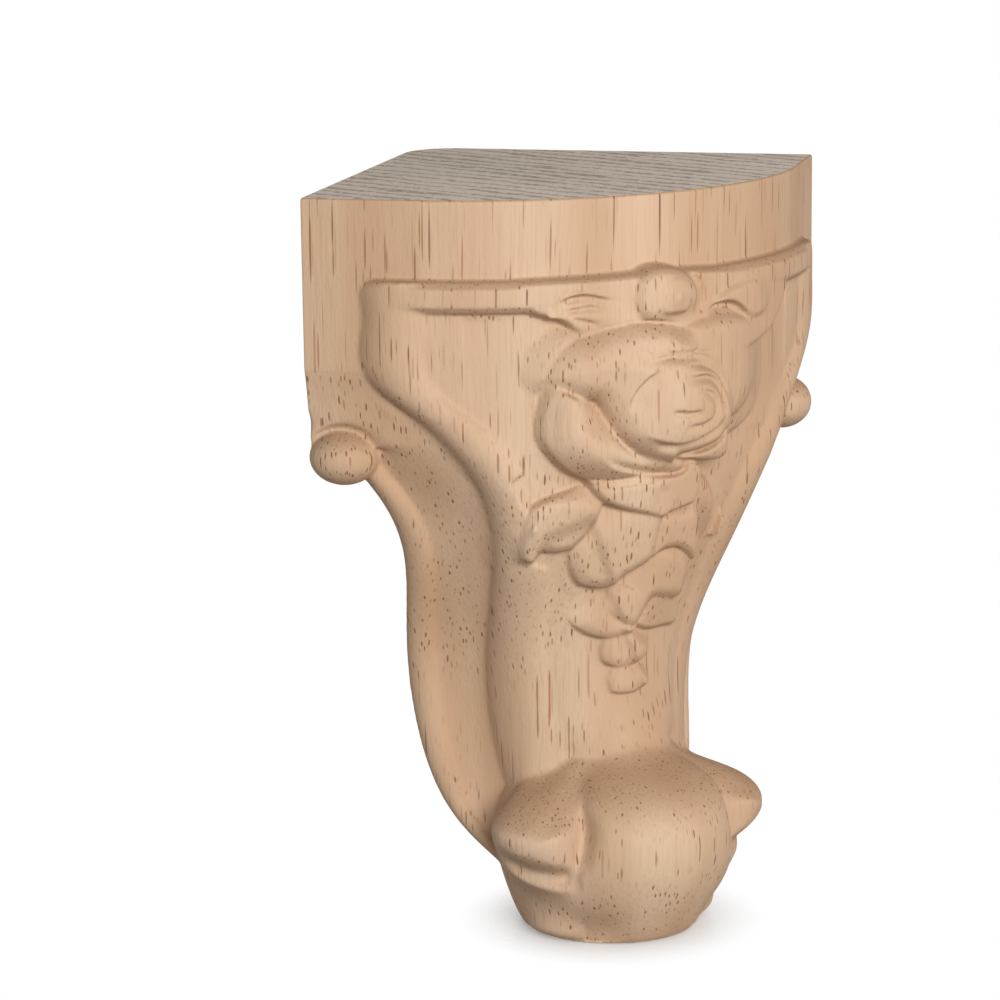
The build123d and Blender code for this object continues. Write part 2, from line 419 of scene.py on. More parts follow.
@dataclass(frozen=True)
class CarvedFront:
    """Plain front of the leg before carving, as guide lines of height and distance in millimetres."""

    face: Points = (
        (5, 8), (16, 8), (34, 6.7), (44, 7.8), (54, 11.5), (71, 19.2), (80, 22.6), (88, 24.1), (96, 25),
    )
    ridge: Points = (
        (5, -4), (16, -8.2), (26, -11.7), (42, -13.6), (64, -10), (72, -10.2), (80, -14), (85, -18.8),
        (89, -24.2), (92.5, -27.8), (98, -28.6), (105, -28.4), (107.7, -26.8),
    )
    field: Points = (
        (5, -13), (16, -11), (26, -8.5), (42, -5.4), (54, -6.3), (71, -11.2), (80, -13.4), (88, -14.4),
    )
    ridge_rise: float = 2.9
    ridge_width: float = 5.0
    field_drop: float = 0.5
    block_radius: float = 51.0
    block_centre: float = 35.96

    @staticmethod
    def along(line: Points, z: np.ndarray) -> np.ndarray:
        """Read a guide line on a smooth run through its pairs.

        Args:
            line: Pairs of height and distance.
            z: Heights to read it at.

        Returns:
            The distances.
        """
        pairs = np.array(line, float)
        last = len(pairs) - 1
        z = np.clip(z, pairs[0, 0], pairs[-1, 0])
        i = np.clip(np.searchsorted(pairs[:, 0], z, side="right") - 1, 0, last - 1)
        (z0, d0), (z1, d1) = pairs[i].T, pairs[i + 1].T
        before, after = pairs[np.maximum(i - 1, 0)].T, pairs[np.minimum(i + 2, last)].T
        step, rise = z1 - z0, d1 - d0
        t = (z - z0) / step
        bow0 = (d1 - before[1]) / (z1 - before[0]) * step - rise
        bow1 = rise - (after[1] - d0) / (after[0] - z0) * step
        return d0 + rise * t + t * (1 - t) * (bow0 * (1 - t) + bow1 * t)

    def crest(self, z: np.ndarray) -> tuple[np.ndarray, np.ndarray]:
        """Find the crest of the ridge.

        Args:
            z: Heights to find it at.

        Returns:
            Its distance to the side and its depth.
        """
        out = self.along(self.face, z) + self.ridge_rise
        run = self.along(self.ridge, z)
        return (out - run) / math.sqrt(2), -(out + run) / math.sqrt(2)

    def ground(self, x: np.ndarray, z: np.ndarray, swell: tuple[float, float]) -> np.ndarray:
        """Depth of the plain front.

        Args:
            x: Places to the side.
            z: Heights.
            swell: Heights at which the field starts to swell out to the block and has reached it.

        Returns:
            The depths along Y, in millimetres.
        """
        side, deep = self.crest(z)
        middle = self.along(self.field, z)
        spread = (x / side) ** 2
        field = middle + (deep - middle) * spread + self.field_drop * np.clip(spread, 0, 1)
        block = self.block_centre - np.sqrt(np.maximum(self.block_radius**2 - x**2, 1.0))
        return field + np.minimum(block - field, 0) * ease(z, *swell)


FAR = 1e9
TINY = 1e-12
PLACES_PER_RUN = 5


def smooth_line(points: Points, closed: bool = False) -> np.ndarray:
    """Draw a smooth line through a few points.

    Args:
        points: Places on the front as x, z in millimetres.
        closed: Whether the line comes back to its start.

    Returns:
        Many places along the line.
    """
    knots = np.array(points, float)
    first, last = 2 * knots[:1] - knots[1:2], 2 * knots[-1:] - knots[-2:-1]
    ends = (knots[-1:], knots[:2]) if closed else (first, last)
    padded = np.vstack([ends[0], knots, ends[1]])
    t = np.linspace(0, 1, PLACES_PER_RUN + 1)[:-1, None]
    runs = []
    for a, b, c, d in zip(padded, padded[1:], padded[2:], padded[3:]):
        runs.append(b + 0.5 * t * (c - a + t * (2 * a - 5 * b + 4 * c - d + t * (3 * (b - c) + d - a))))
    return np.vstack(runs if closed else runs + [knots[-1:]])


def near_run(x: np.ndarray, z: np.ndarray, a: np.ndarray, b: np.ndarray) -> tuple[np.ndarray, np.ndarray]:
    """Find the nearest place on one straight run.

    Args:
        x: Places to the side.
        z: Heights.
        a: Start of the run.
        b: End of the run.

    Returns:
        Shares of the run passed and distances to it.
    """
    (ax, az), (bx, bz) = a, b
    length = max((bx - ax) ** 2 + (bz - az) ** 2, TINY)
    t = np.clip(((x - ax) * (bx - ax) + (z - az) * (bz - az)) / length, 0, 1)
    return t, np.hypot(x - ax - t * (bx - ax), z - az - t * (bz - az))


def depth_inside(x: np.ndarray, z: np.ndarray, loop: np.ndarray) -> np.ndarray:
    """Measure how far places lie inside a closed outline.

    Args:
        x: Places to the side.
        z: Heights.
        loop: Places along the outline.

    Returns:
        The depths in millimetres, negative outside.
    """
    nearest = np.full(x.shape, FAR)
    inside = np.zeros(x.shape, bool)
    for a, b in zip(loop, np.roll(loop, -1, axis=0)):
        nearest = np.minimum(nearest, near_run(x, z, a, b)[1])
        (ax, az), (bx, bz) = a, b
        if az != bz:
            crosses = (az > z) != (bz > z)
            inside ^= crosses & (x < (bx - ax) * (z - az) / (bz - az) + ax)
    return np.where(inside, nearest, -nearest)


def side_of(x: np.ndarray, z: np.ndarray, line: np.ndarray) -> tuple[np.ndarray, np.ndarray]:
    """Measure how far places lie to the right of an open line, and how far along it.

    Args:
        x: Places to the side.
        z: Heights.
        line: Places along the line.

    Returns:
        Distances, positive on the right-hand side of its run, and shares of the line passed.
    """
    nearest = np.full(x.shape, FAR)
    passed = np.zeros(x.shape)
    for k, (a, b) in enumerate(zip(line, line[1:])):
        t, away = near_run(x, z, a, b)
        turn = np.sign((x - a[0]) * (b[1] - a[1]) - (z - a[1]) * (b[0] - a[0]))
        closer = away < np.abs(nearest)
        nearest = np.where(closer, away * np.where(turn == 0, 1, turn), nearest)
        passed = np.where(closer, (k + t) / (len(line) - 1), passed)
    return nearest, passed


@dataclass(frozen=True)
class Petal:
    """A petal, leaf or bud raised from the front, all in millimetres.

    It stands up by rise, tilts by lean for each millimetre from its middle, swells by crown towards
    its middle, has an edge of step times its height rounded over roll, and melts into what lies below
    towards the side that merge points to, from the share melt of its size on.
    """

    outline: Points
    rise: float
    roll: float = 1.2
    step: float = 0.5
    lean: tuple[float, float] = (0.0, 0.0)
    crown: float = 0.0
    reach: float = 5.0
    merge: tuple[float, float] = (0.0, 0.0)
    melt: float = 0.0
    soft: float = 0.25
    least_rise: float = 0.2
    least_half: float = 0.1

    def carve(self, x: np.ndarray, z: np.ndarray, height: np.ndarray) -> np.ndarray:
        """Lay the petal over what is carved already.

        Args:
            x: Places to the side.
            z: Heights on the leg.
            height: Carved height above the plain front.

        Returns:
            The new carved height.
        """
        loop = smooth_line(self.outline, closed=True)
        deep = depth_inside(x, z, loop)
        middle = (loop.max(axis=0) + loop.min(axis=0)) / 2
        rounded = 1 - (1 - np.clip(deep / self.roll, 0, 1)) ** 2
        top = self.rise + (x - middle[0]) * self.lean[0] + (z - middle[1]) * self.lean[1]
        top = np.maximum(top, self.least_rise) + self.crown * ease(deep, 0.0, self.reach)
        own = top * (self.step + (1 - self.step) * rounded)
        half = max(float(((loop - middle) @ np.array(self.merge)).max()), self.least_half)
        onward = (x - middle[0]) * self.merge[0] + (z - middle[1]) * self.merge[1]
        cover = ease(deep, -self.soft, self.soft) * (1 - ease(onward, self.melt * half, half))
        return height + (own - height) * cover


@dataclass(frozen=True)
class Cut:
    """A line cut along a few points that fades in and out over a share of its length, in millimetres."""

    points: Points
    depth: float
    width: float
    ends: float = 0.25

    def trace(self, x: np.ndarray, z: np.ndarray) -> tuple[np.ndarray, np.ndarray]:
        """Measure places against the line.

        Args:
            x: Places to the side.
            z: Heights on the leg.

        Returns:
            Distances to the right of the line, and how deep it is there against its full depth.
        """
        away, passed = side_of(x, z, smooth_line(self.points))
        return away, ease(passed, 0.0, self.ends) * ease(1 - passed, 0.0, self.ends)


@dataclass(frozen=True)
class Fold(Cut):
    """A carved line: past its right-hand side the surface lies lower."""

    kind: Edge = Edge.STEP
    bite: float = 0.25
    least_height: float = 0.5

    def carve(self, x: np.ndarray, z: np.ndarray, height: np.ndarray) -> np.ndarray:
        """Work the line into what is carved already.

        Args:
            x: Places to the side.
            z: Heights on the leg.
            height: Carved height above the plain front.

        Returns:
            The new carved height.
        """
        away, fade = self.trace(x, z)
        if self.kind is Edge.STEP:
            low = ease(away, -self.bite, self.bite) * np.exp(-((np.maximum(away, 0) / self.width) ** 2))
        else:
            low = ease(away, 0.0, self.width)
        return height - self.depth * fade * low * ease(height, 0.0, self.least_height)


@dataclass(frozen=True)
class Groove(Cut):
    """A soft groove, or a bead where its depth is below zero."""

    def carve(self, x: np.ndarray, z: np.ndarray, height: np.ndarray) -> np.ndarray:
        """Work the groove into what is carved already.

        Args:
            x: Places to the side.
            z: Heights on the leg.
            height: Carved height above the plain surface.

        Returns:
            The new carved height.
        """
        away, fade = self.trace(x, z)
        return height - self.depth * fade * np.exp(-((away / self.width) ** 2))


Shape = Union[Petal, Fold, Groove]


def lobes() -> list[Shape]:
    """List what shapes each side of the foot, by distance round it from the front and height.

    Returns:
        Grooves, beads and a petal, in the order that they are cut.
    """
    ankle = Groove(((6, 2.5), (16, 2.5), (28, 2.5), (38, 2.5)), 1.0, 3.5)
    crown = Groove(((21.5, 29.4), (24.5, 28.6), (27, 27.8), (30, 26.6), (34, 25)), 1.6, 2.6, 0.4)
    shoulder = Groove(((24, 22.5), (29, 23), (34, 22)), -0.5, 3.0, 0.4)
    valley = Groove(
        ((22.5, 32), (20.8, 27), (19.4, 24), (17.6, 21), (16.4, 17.5), (16, 12)), 2.8, 2.9, 0.35)
    thumb = Petal(
        ((25.5, 16.6), (22.3, 14.8), (20.2, 14), (17.6, 14.4), (16.6, 17), (17.6, 19.6), (19.8, 20.6),
         (21.4, 20), (23.4, 18.6)), 0.3, 2.0, 0.3, merge=(-1.0, 0.0), soft=1.2)
    belt = Groove(((14, 16), (22, 16), (30, 16), (38, 16)), 1.6, 3.2, 0.15)
    undercut = Groove(((31, 15.5), (26.5, 13.6), (22.5, 12.8), (20, 12.4), (16.5, 12.8)), 2.0, 1.9)
    lip = Groove(((30, 13), (27, 11.4), (23.8, 10.4), (20.2, 10.2), (17, 11)), -0.35, 0.9)
    return [ankle, crown, shoulder, valley, thumb, belt, undercut, lip]


def rose() -> list[Shape]:
    """List the rose and the leaves at its top from the lowest layer to the highest.

    Returns:
        Petals, folds and grooves, in the order that they are laid.
    """
    collar = Petal(
        ((-25, 105), (-20.8, 102.5), (-17.7, 101.6), (-15, 99.6), (-12.6, 97.6), (-5, 96), (6, 95),
         (19, 95), (25, 98), (27, 105), (6, 108), (-12, 108), (-25, 107.5)), 2.6, 0.9)
    leaf_right = Petal(
        ((8.2, 102.6), (13, 105), (19.8, 105.4), (22.9, 103.3), (21.5, 100), (18, 98.8), (14.5, 99.8),
         (12, 101.6)), 3.5, 1.6, 0.75, merge=(0.9, 0.3), melt=0.3)
    top_bud = Petal(
        ((-6.5, 104.5), (-5.8, 107.2), (-3.9, 108.8), (-0.9, 109), (2.4, 108.1), (4.6, 106), (5.2, 103.5),
         (4.4, 101.1), (2.4, 99.4), (-0.9, 99), (-3.9, 100), (-5.8, 102)), 4.0, 1.6, 0.65, crown=0.5,
         merge=(0.2, -1.0))
    flank = Petal(
        ((3, 97), (13, 97.5), (18, 95), (19, 90), (17, 86), (12, 84), (6, 84)), 3.4, 0.1, 1.0, (-0.12, 0.0),
         soft=5.0)
    upper_right = Petal(
        ((-1.3, 96.4), (1.5, 99.2), (5.5, 100.4), (9, 100.6), (13, 100.2), (18, 98.8), (22, 95.9), (22, 91),
         (17, 86), (11.7, 84), (4.4, 88)), 4.2, 2.6, 0.65, merge=(1.0, -0.15), melt=-0.2, soft=0.6)
    skirt = Petal(
        ((-21, 92), (-20.6, 95.5), (-18.6, 98.4), (-15.6, 100), (-10, 100), (-6, 96), (-8, 88), (-14, 89)),
         1.8, 0.1, 1.0, soft=1.8)
    lower_left = Petal(
        ((-18.2, 92.7), (-19.4, 90.2), (-20.2, 86.9), (-20.4, 84.6), (-20.1, 83), (-18.8, 80.7),
         (-16.6, 78.4), (-14.2, 76.9), (-11.4, 76), (-7.5, 75.7), (-3.1, 75.9), (0.5, 75.6), (4.3, 76.5),
         (2.7, 81.8), (-6.3, 89), (-12.8, 91), (-16, 92.4)), 4.5, 4.2, 0.46)
    lower_lip = Petal(
        ((1.6, 79), (4.2, 78.2), (6.8, 77.5), (9.7, 77.2), (12, 78), (13.6, 79.6), (14, 82), (11.8, 85),
         (5, 82)), 4.4, 1.2, 0.75, merge=(0.95, 0.3), melt=0.3)
    heart = Petal(
        ((-19.6, 92.6), (-19, 94.6), (-17.6, 96.7), (-15.6, 98.3), (-13.6, 99.1), (-8.9, 100.6),
         (-3.9, 101), (1.2, 100), (5.4, 98), (9, 95), (11.2, 91), (12.2, 86.5), (11.4, 83.4), (10, 81.6),
         (8.6, 80.1), (5.9, 79.3), (3.4, 79), (1.6, 78.8), (1.1, 77.8), (-3.2, 79.2), (-6, 80.5),
         (-9, 83.3), (-10.9, 86.6), (-12.3, 88.9), (-14, 89.3), (-16.7, 90.2)), 4.9, 3.2, 0.5,
         (0.06, -0.05), 1.7, 10.0, (0.8, 0.6), 0.55)
    return [
        collar,
        Fold(((-18.6, 104.2), (-16.1, 105.3), (-13.8, 105.5), (-11.5, 105), (-8.2, 104.2)), 1.1, 1.0),
        Fold(((-18, 103), (-15.4, 103.5), (-13.1, 103.7), (-10.2, 103.2)), 0.8, 0.7),
        Fold(((-16.2, 102.1), (-14, 101.6), (-11.4, 100.8)), 0.8, 0.7),
        leaf_right,
        Fold(((6.6, 101.2), (9.4, 102.3), (12.6, 102.2), (15.2, 100.6), (16.4, 98.6)), 1.1, 1.5),
        top_bud,
        Fold(((2.6, 108.6), (5.4, 106.9), (6.8, 104.6), (6.6, 102), (5, 99.8)), 0.6, 1.4),
        skirt, flank, upper_right,
        lower_left,
        Fold(((3.8, 75.6), (0.8, 75.8), (-4.3, 76.8), (-9.4, 78.5), (-13.5, 81), (-16.6, 84.5), (-17.6, 88),
              (-17.4, 91.5), (-17, 94)), 3.1, 6.5, 0.08, Edge.FACET),
        Fold(((2.6, 75.7), (-0.6, 76), (-4.3, 76.8), (-9.4, 78.5), (-12.6, 81)), 0.8, 1.6),
        lower_lip, heart,
        Groove(((-15, 89.2), (-12.2, 88.5), (-10.6, 86.2), (-8.7, 82.9), (-5.8, 80), (-3.1, 78.7),
                (1.6, 77.2)), 0.8, 0.5, 0.3),
        Groove(((-20, 81.4), (-18.9, 80.1), (-16.7, 77.8), (-14.2, 76.4), (-11.4, 75.5), (-7.5, 75.2),
                (-3.1, 75.4), (1.5, 75)), 0.7, 0.5, 0.1),
        Fold(((-3.5, 96.6), (-0.3, 96.1), (3.5, 95.9), (8.2, 95)), 0.7, 0.9),
        Fold(((-6.4, 95.2), (-2.7, 95.6), (1.3, 95.2), (4.8, 94.6), (8, 93.2)), 0.7, 1.0),
        Fold(((-8.5, 86.2), (-8.2, 88.7), (-7.6, 90.4), (-6.4, 92), (-5, 93.1), (-2.4, 94.2)), 0.9, 2.6),
        Fold(((0.4, 94), (3.6, 93.9), (6.2, 93.2), (8.1, 92), (9.6, 89.6), (10, 87)), 0.8, 0.8),
        Fold(((-1.4, 92.2), (2.8, 92.2), (5.1, 92), (6.9, 91.2), (8.4, 89.4), (8.8, 87.2), (8, 84.6)), 1.1,
              1.3),
        Fold(((2, 90.5), (4.8, 89.8), (6.4, 88.6), (7, 87.3), (6.6, 86), (5.2, 85)), 0.9, 1.1),
        Fold(((-6.6, 83.6), (-3.1, 82.2), (-1, 81.7), (1.3, 81.6), (3.4, 82.1), (5.6, 83), (7.2, 84),
              (8.6, 86)), 1.8, 1.5),
        Fold(((1, 79.6), (3.9, 79.8), (6, 80.1), (8.1, 80.9), (9.4, 82), (10.6, 83.6)), 0.9, 0.9),
        Fold(((-2.4, 87.3), (0.7, 86.8), (3.9, 86.8)), 0.8, 0.9),
        Fold(((0.4, 84.6), (3.2, 84.6), (5.4, 85.3), (6.9, 86.6)), 0.7, 0.8),
    ]


def leaves() -> list[Shape]:
    """List the drop of leaves and buds below the rose, from the lowest layer to the highest.

    Returns:
        Petals and folds, in the order that they are laid.
    """
    bud_low = Petal(
        ((-3.3, 43.4), (-4, 41.9), (-3.8, 39.9), (-3.2, 39.2), (-1.3, 38.9), (1, 39), (3.1, 40.1),
         (3.7, 42.1), (2.2, 44.4), (-1.2, 44.4)), 1.9, 2.0, 0.6, (-0.06, -0.1), merge=(0.6, 0.8), melt=0.1)
    bud_high = Petal(
        ((-4.7, 48.6), (-5.3, 46.7), (-5, 44.7), (-3.2, 43.5), (-0.9, 43.2), (1.6, 44.2), (3.5, 45.8),
         (3.4, 48.4), (0.6, 51), (-2.3, 50)), 2.3, 2.2, 0.6, (-0.04, -0.1), merge=(0.6, 0.8), melt=0.1)
    leaf_low = Petal(
        ((-3.6, 57.6), (-7.5, 57), (-9.8, 55), (-10.9, 52.9), (-10.3, 51.5), (-9.3, 50.4), (-7.4, 49.2),
         (-4.9, 48.4), (-2.8, 48.4), (-1.3, 49), (0.3, 50.1), (0.4, 53.5), (-1, 56.4)), 2.4, 2.0, 0.65,
         (0.06, -0.1), merge=(-0.5, 0.87))
    shade = Petal(
        ((3.2, 56), (1.6, 52.6), (0.5, 50.2), (2.9, 49), (6.4, 48.9), (9.9, 49), (10, 53), (7.5, 56)), 1.7,
         0.8, 0.6, (-0.05, 0.17), merge=(0.8, 0.6), melt=0.3)
    leaf_bright = Petal(
        ((1, 63), (-1.3, 61.3), (-5, 60), (-6.5, 56.3), (-5, 52.4), (-1.2, 50.1), (0.1, 50.6), (1.4, 52.6),
         (2.6, 54.5), (5, 54.2), (8.4, 54), (9.4, 58), (8.4, 61), (4.6, 63)), 2.9, 2.2, 0.6, (0.04, -0.04),
         merge=(-0.87, 0.5), melt=-0.1)
    leaf_right = Petal(
        ((8, 75), (11.2, 72.8), (13, 69), (13, 65), (11.6, 61.5), (9.5, 63), (7, 70)), 1.5, 1.5, 0.6,
         merge=(-0.3, -0.95), melt=-0.5, soft=0.6)
    leaf_next = Petal(
        ((0.6, 71), (1, 65.8), (1, 62), (2.9, 62.8), (5.5, 62.8), (7.8, 61.5), (9.8, 60), (10.2, 63.6),
         (9.2, 68.2), (7.2, 72)), 2.9, 1.6, 0.7, (0.0, -0.1), merge=(0.0, 1.0), melt=0.2)
    leaf_middle = Petal(
        ((-11.5, 74), (-12.9, 70), (-13.3, 65.8), (-12.4, 61.4), (-10.6, 58.5), (-8.8, 57.6), (-7, 57.2),
         (-5.2, 57.5), (-3.7, 59.1), (-1.2, 60.3), (1.1, 62), (1.6, 65.8), (1.6, 70), (-3.3, 72.5),
         (-8, 73.8)), 2.9, 2.2, 0.65, (0.06, -0.08), merge=(-0.6, 0.8), melt=0.1)
    leaf_left = Petal(
        ((-10.5, 76.5), (-14.1, 74.7), (-17.6, 73.7), (-20.4, 72.3), (-21.4, 69.4), (-21.5, 66.5),
         (-19.7, 65), (-15.6, 64.1), (-13.2, 64.4), (-12.1, 65.3), (-10.6, 67.2), (-9.6, 70.4), (-9, 74)),
         2.6, 1.8, 0.6, (0.05, -0.04), merge=(0.2, 0.98), melt=0.2)
    petal_below = Petal(
        ((-15, 78.5), (-13, 76.4), (-11.9, 75), (-10.4, 72.9), (-7.6, 71.4), (-3.8, 70.1), (0.9, 68.7),
         (2.3, 69.3), (5.3, 70), (6.9, 70.6), (7.6, 73.6), (6.5, 77.4), (-3.2, 79.3), (-11.8, 79.4)), 3.5,
         1.0, 0.7, (0.02, -0.05))
    return [
        bud_low, bud_high, leaf_low, shade, leaf_bright, leaf_right, leaf_next, leaf_middle,
        leaf_left,
        Fold(((-20.6, 67.8), (-17.1, 69.4), (-14.2, 70.4), (-11, 71.8)), 0.9, 3.5, 0.15, Edge.FACET),
        petal_below,
        Fold(((1.4, 74.5), (0.9, 71.5), (1.1, 68.9)), 0.35, 2.5),
    ]


@dataclass(frozen=True)
class Patch:
    """A round place on the front that is sanded, in millimetres."""

    x: float
    z: float
    radius: float
    fade: float
    behind: float = 2.0

    def share(self, x: np.ndarray, y: np.ndarray, z: np.ndarray) -> np.ndarray:
        """How much each place is sanded, from 0 to 1.

        Args:
            x: Places to the side.
            y: Depths.
            z: Heights.

        Returns:
            The shares.
        """
        near = ease(self.radius - np.hypot(x - self.x, z - self.z), 0.0, self.fade)
        return near * (y < self.behind)


@dataclass(frozen=True)
class Sanding:
    """Where the carved leg is sanded and how much, in millimetres."""

    rounds: int = 110
    factor: float = 0.5
    least: float = 0.01
    scroll: Triple = (41.6, 11.3, 79.2)
    scroll_clear: tuple[float, float] = (6.0, 7.5)
    ledge_level: float = 81.0
    ledge_reach: float = 6.0
    ledge_fade: float = 3.0
    ledge_side: tuple[float, float] = (22.5, 27.0)
    ledge_behind: float = 14.0
    knee_level: float = 29.5
    knee_reach: float = 6.0
    knee_fade: float = 2.5
    knee_radius: float = 17.0
    knee_behind: float = 6.0
    patches: tuple[Patch, ...] = (Patch(-21, 64.6, 4.2, 1.6), Patch(-23.6, 81.4, 3.0, 1.4))
    rim: Points = (
        (-18, 92), (-15, 89.6), (-12.2, 88.5), (-10.6, 86.2), (-8.7, 82.9), (-5.8, 80), (-3, 78.6),
    )
    rim_reach: float = 2.4
    rim_fade: float = 1.5
    rim_share: float = 0.16

    def share(self, x: np.ndarray, y: np.ndarray, z: np.ndarray) -> np.ndarray:
        """How much each place is sanded: beside the scrolls, above the foot and at the rose's rim.

        Args:
            x: Places to the side.
            y: Depths.
            z: Heights.

        Returns:
            The shares, from 0 to 1.
        """
        side, deep, high = self.scroll
        scroll = np.sqrt((np.abs(x) - side) ** 2 + (y - deep) ** 2 + (z - high) ** 2)
        ledge = ease(self.ledge_reach - np.abs(z - self.ledge_level), 0.0, self.ledge_fade)
        ledge = ledge * ease(scroll, *self.scroll_clear) * ease(np.abs(x), *self.ledge_side)
        knee = ease(self.knee_reach - np.abs(z - self.knee_level), 0.0, self.knee_fade)
        knee = knee * (np.hypot(x, y) < self.knee_radius) * (y < self.knee_behind)
        away, _ = side_of(x, z, smooth_line(self.rim))
        rim = self.rim_share * ease(self.rim_reach - np.abs(away), 0.0, self.rim_fade) * (y < 0)
        patches = [patch.share(x, y, z) for patch in self.patches]
        return np.max([ledge * (y < self.ledge_behind), knee, rim, *patches], axis=0)


def read_places(piece: bpy.types.Object) -> np.ndarray:
    """Read the vertices of a piece.

    Args:
        piece: The piece.

    Returns:
        Rows of x, y and z, in metres.
    """
    places = np.empty(3 * len(piece.data.vertices))
    piece.data.vertices.foreach_get("co", places)
    return places.reshape(-1, 3)


def write_places(piece: bpy.types.Object, places: np.ndarray) -> None:
    """Move the vertices of a piece.

    Args:
        piece: The piece.
        places: Rows of x, y and z, in metres.
    """
    piece.data.vertices.foreach_set("co", places.ravel())
    piece.data.update()


def apply_modifier(piece: bpy.types.Object, kind: str, **settings: Any) -> None:
    """Add a modifier to the active piece and apply it.

    Args:
        piece: The piece.
        kind: The modifier's type.
        settings: Its properties.
    """
    made = piece.modifiers.new(kind.lower(), kind)
    for key, value in settings.items():
        setattr(made, key, value)
    bpy.ops.object.modifier_apply(modifier=made.name)


@dataclass
class CarvedLeg:
    """The leg: the CAD solid made one even skin, then carved. Sizes of the carving are millimetres."""

    node: str = "leg"
    voxel: float = 0.30 * MM
    merged: float = 0.002 * MM
    smoothing: int = 1
    most_triangles: int = 190000
    front: CarvedFront = CarvedFront()
    sanding: Sanding = Sanding()
    wood: BareWood = BareWood()

    carved_heights: tuple[float, float] = (36.0, 110.0)
    carved_side: float = 30.0
    carved_depths: tuple[float, float] = (14.0, 3.0)
    swell: tuple[float, float] = (77.0, 84.0)
    bare_swell: tuple[float, float] = (81.0, 90.0)
    leaf_on_ridge: tuple[float, float] = (60.0, 79.0)
    leaf_fade: float = 3.0
    bar_level: float = 102.3
    bar_fade: float = 0.8
    field_fade: float = 1.5
    worked: tuple[float, float] = (0.02, 0.2)

    foot_radius: float = 20.6
    foot_core: float = 8.0
    foot_heights: tuple[float, float] = (0.01, 33.0)
    foot_turn: float = math.radians(112)

    def build(self) -> bpy.types.Object:
        """Make the finished leg.

        Returns:
            The leg's object, at the origin.
        """
        leg = self._copy()
        self._skin(leg)
        self._carve(leg)
        self._carve_foot(leg)
        self._skin(leg)
        self._sand(leg)
        self._thin(leg)
        leg.data.materials.clear()
        leg.data.materials.append(self.wood.material())
        return leg

    def _copy(self) -> bpy.types.Object:
        """Copy the CAD node and merge its loose triangles.

        Returns:
            The copy, selected and active.
        """
        bpy.ops.object.select_all(action="DESELECT")
        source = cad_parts[self.node]
        leg = bpy.data.objects.new("carved_leg", source.data.copy())
        bpy.context.scene.collection.objects.link(leg)
        bpy.context.view_layer.objects.active = leg
        leg.select_set(True)
        bpy.ops.object.mode_set(mode="EDIT")
        bpy.ops.mesh.select_all(action="SELECT")
        bpy.ops.mesh.remove_doubles(threshold=self.merged)
        bpy.ops.object.mode_set(mode="OBJECT")
        return leg

    def _skin(self, leg: bpy.types.Object) -> None:
        """Give the leg an even skin, with the block's sides along the grid.

        Args:
            leg: The leg, as one closed surface.
        """
        leg.data.transform(Matrix.Rotation(BlockTurn.SQUARE.value, 4, "Z"))
        apply_modifier(leg, "REMESH", mode="VOXEL", voxel_size=self.voxel)
        apply_modifier(leg, "SMOOTH", factor=0.5, iterations=self.smoothing)
        leg.data.transform(Matrix.Rotation(BlockTurn.BACK.value, 4, "Z"))

    def _carve(self, leg: bpy.types.Object) -> None:
        """Cut the rose and its leaves into the front.

        On the open field they stand on the plain front and what lay there before is taken off. On the
        ridges and the bar they only add to the surface, and their lines are cut into it.

        Args:
            leg: The leg with an even skin.
        """
        places = read_places(leg) / MM
        x, y, z = places.T
        plain = self.front.ground(x, z, self.swell)
        bare = self.front.ground(x, z, self.bare_swell)
        side = self._field_side(x, z)
        (low, high), (before, behind) = self.carved_heights, self.carved_depths
        near = (y < plain + behind) & (y > plain - before)
        reached = np.nonzero((z > low) & (z < high) & (np.abs(x) < self.carved_side) & near)[0]
        x, y, z, plain, bare, side = (values[reached] for values in (x, y, z, plain, bare, side))
        height = np.zeros(x.shape)
        whole = np.zeros(x.shape)
        for shape in leaves() + rose():
            height = shape.carve(x, z, height)
            whole = shape.carve(x, z, whole) if isinstance(shape, Petal) else whole
        worked = ease(height, *self.worked)
        cleared = np.maximum(y, bare)
        flat = np.minimum(plain - height, cleared) * worked + cleared * (1 - worked)
        proud = np.where(worked > 0, np.minimum(y, plain - whole) + (whole - height), y)
        open_field = ease(side - np.abs(x), 0.0, self.field_fade) * ease(self.bar_level - z, 0.0, self.bar_fade)
        places[reached, 1] = proud + (flat - proud) * open_field
        write_places(leg, places * MM)

    def _field_side(self, x: np.ndarray, z: np.ndarray) -> np.ndarray:
        """Find how far the open field reaches to the side.

        Args:
            x: Places to the side.
            z: Heights.

        Returns:
            Distances from the middle; on the left the field takes in the ridge beside the low leaf.
        """
        start, end = self.leaf_on_ridge
        beside = ease(z, start, start + self.leaf_fade) * ease(end - z, 0.0, self.leaf_fade)
        width = self.front.ridge_width
        return self.front.crest(z)[0] - np.where(x < 0, width * (1 - beside) + beside, width)

    def _carve_foot(self, leg: bpy.types.Object) -> None:
        """Part the foot's lobes and cut the lip below each side lobe.

        Args:
            leg: The leg with an even skin.
        """
        places = read_places(leg)
        x, y, z = places.T / MM
        away = np.hypot(x, y)
        turned = np.abs(np.arctan2(x, -y))
        low, high = self.foot_heights
        reached = np.nonzero((z < high) & (away > self.foot_core) & (turned < self.foot_turn) & (z > low))[0]
        around = turned[reached] * self.foot_radius
        height = np.zeros(around.shape)
        for shape in lobes():
            height = shape.carve(around, z[reached], height)
        grown = 1 + height / away[reached]
        places[reached, :2] *= grown[:, None]
        write_places(leg, places)

